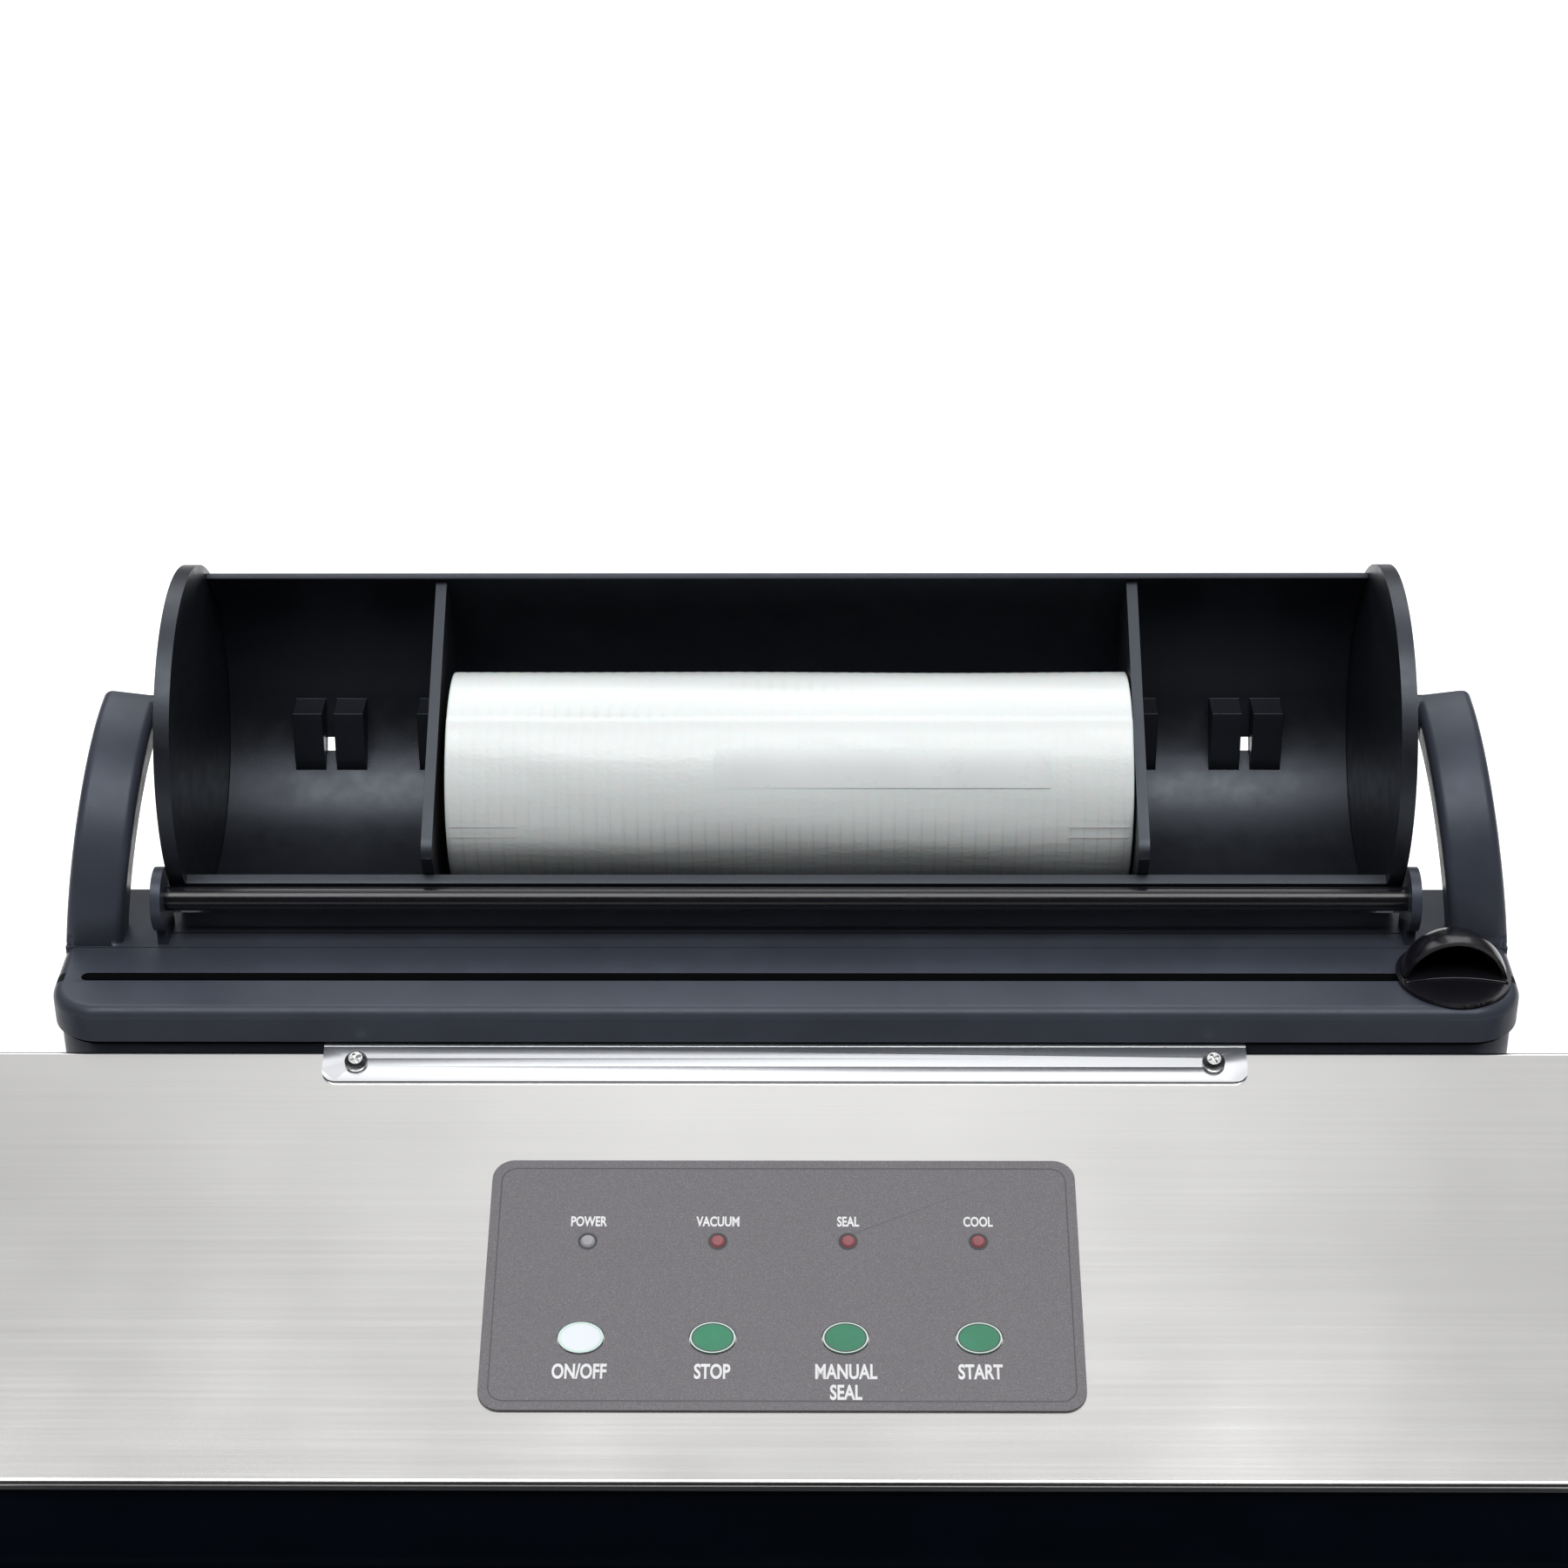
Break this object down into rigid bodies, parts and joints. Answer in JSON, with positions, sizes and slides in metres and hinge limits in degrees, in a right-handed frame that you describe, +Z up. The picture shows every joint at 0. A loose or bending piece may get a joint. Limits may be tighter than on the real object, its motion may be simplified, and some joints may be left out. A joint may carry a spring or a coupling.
{
  "type": "vacuum sealer",
  "caption": "Countertop vacuum sealer with a sloped steel control panel, hinged sealing lid, and a rear roll holder with tilting trough, guide rod and slide cutter.",
  "frame": {"origin": "centre of the bounding box, on the surface that the feet stand on", "axes": "+X along the width to the machine's right-hand side seen from the front, +Y to the rear, +Z up"},
  "size_m": [0.4806, 0.4294, 0.2797],
  "materials": {
    "stainless": "fine brushed",
    "steel_dull": "dull",
    "bar_aluminium": "satin",
    "polished_plate": "polished",
    "bright_screw": "polished",
    "rubber": "matte",
    "gasket_rubber": "matte",
    "red_rubber": "matte",
    "black_plastic": "satin",
    "holder_plastic": "fine texture",
    "trough_plastic": "fine texture",
    "gloss_rod": "gloss",
    "lid_plastic": "satin gloss",
    "gloss_panel": "gloss",
    "overlay_grey": "fine speckle",
    "lamp_white": "gloss",
    "lamp_red": "gloss",
    "button_white": "satin",
    "button_green": "satin",
    "board_green": "gloss",
    "painted_motor": "satin",
    "transformer_iron": "varnished",
    "valve_blue": "satin",
    "hose_clear": "translucent",
    "seal_tape": "woven",
    "bag_film": "translucent embossed",
    "core_card": "card"
  },
  "bodies": {
    "machine": {"base_pan": "steel_dull", "rubber_feet": "rubber", "top_cover": "stainless", "side_panel_left": "stainless", "side_panel_right": "stainless", "rear_panel": "stainless", "front_fascia": "gloss_panel", "front_apron": "black_plastic", "vacuum_trough": "black_plastic", "front_deck": "black_plastic", "lower_gasket": "gasket_rubber", "seal_bar": "bar_aluminium", "seal_element": "stainless", "seal_tape": "seal_tape", "hinge_brackets": "black_plastic", "lid_hinge_pins": "stainless", "control_overlay": "overlay_grey", "power_lamp": "lamp_white", "status_lamps": "lamp_red", "control_board": "board_green", "pump_body": "bar_aluminium", "pump_heads": "bar_aluminium", "pump_motor": "painted_motor", "transformer": "transformer_iron", "fan_frame": "black_plastic", "solenoid_valve": "valve_blue", "vacuum_hose": "hose_clear", "power_inlet": "black_plastic", "cover_screws": "bright_screw", "bracket_plate": "polished_plate", "bracket_screws": "bright_screw", "holder_base": "holder_plastic", "base_screws": "bright_screw", "holder_arm_left": "holder_plastic", "holder_arm_right": "holder_plastic", "rod_holders": "holder_plastic", "cutter_bar": "holder_plastic", "pivot_pins": "bright_screw"},
    "lid": {"lid_shell": "lid_plastic", "lid_liner": "black_plastic", "upper_gasket": "gasket_rubber", "pressure_strip": "red_rubber", "lid_handle": "black_plastic"},
    "first_button": {"button_1": "button_white"},
    "second_button": {"button_2": "button_green"},
    "third_button": {"button_3": "button_green"},
    "fourth_button": {"button_4": "button_green"},
    "fan": {"fan_rotor": "black_plastic"},
    "cutter": {"cutter_knob": "gloss_rod", "cutter_blade": "bright_screw"},
    "rod": {"guide_rod": "gloss_rod"},
    "trough": {"trough_sheet": "trough_plastic", "end_disc_left": "trough_plastic", "end_disc_right": "trough_plastic", "divider_left": "trough_plastic", "divider_right": "trough_plastic"},
    "roll": {"film_roll": "bag_film", "roll_core": "core_card"}
  },
  "joints": [
    {"name": "lid_hinge", "type": "hinge", "parent": "machine", "child": "lid", "pos_m": [0, -0.06196, 0.085], "axis": [-1, 0, 0], "range_deg": [0, 80]},
    {"name": "trough_tilt", "type": "hinge", "parent": "machine", "child": "trough", "pos_m": [0, 0.163, 0.2362], "axis": [1, 0, 0], "range_deg": [0, 35]},
    {"name": "roll_spin", "type": "hinge", "parent": "trough", "child": "roll", "pos_m": [0, 0.163, 0.2131], "axis": [1, 0, 0], "continuous": true},
    {"name": "rod_spin", "type": "hinge", "parent": "machine", "child": "rod", "pos_m": [0, 0.1135, 0.2009], "axis": [1, 0, 0], "continuous": true},
    {"name": "cutter_slide", "type": "slide", "parent": "machine", "child": "cutter", "axis": [-1, 0, 0], "range_m": [0, 0.3866]},
    {"name": "fan_spin", "type": "hinge", "parent": "machine", "child": "fan", "pos_m": [-0.09, 0.0595, 0.075], "axis": [0, 1, 0], "continuous": true},
    {"name": "first_button_press", "type": "slide", "parent": "machine", "child": "first_button", "axis": [0, 0.3567, -0.9342], "range_m": [0, 0.0004], "stiffness_N_per_m": 1500},
    {"name": "second_button_press", "type": "slide", "parent": "machine", "child": "second_button", "axis": [0, 0.3567, -0.9342], "range_m": [0, 0.0004], "stiffness_N_per_m": 1500},
    {"name": "third_button_press", "type": "slide", "parent": "machine", "child": "third_button", "axis": [0, 0.3567, -0.9342], "range_m": [0, 0.0004], "stiffness_N_per_m": 1500},
    {"name": "fourth_button_press", "type": "slide", "parent": "machine", "child": "fourth_button", "axis": [0, 0.3567, -0.9342], "range_m": [0, 0.0004], "stiffness_N_per_m": 1500}
  ]
}
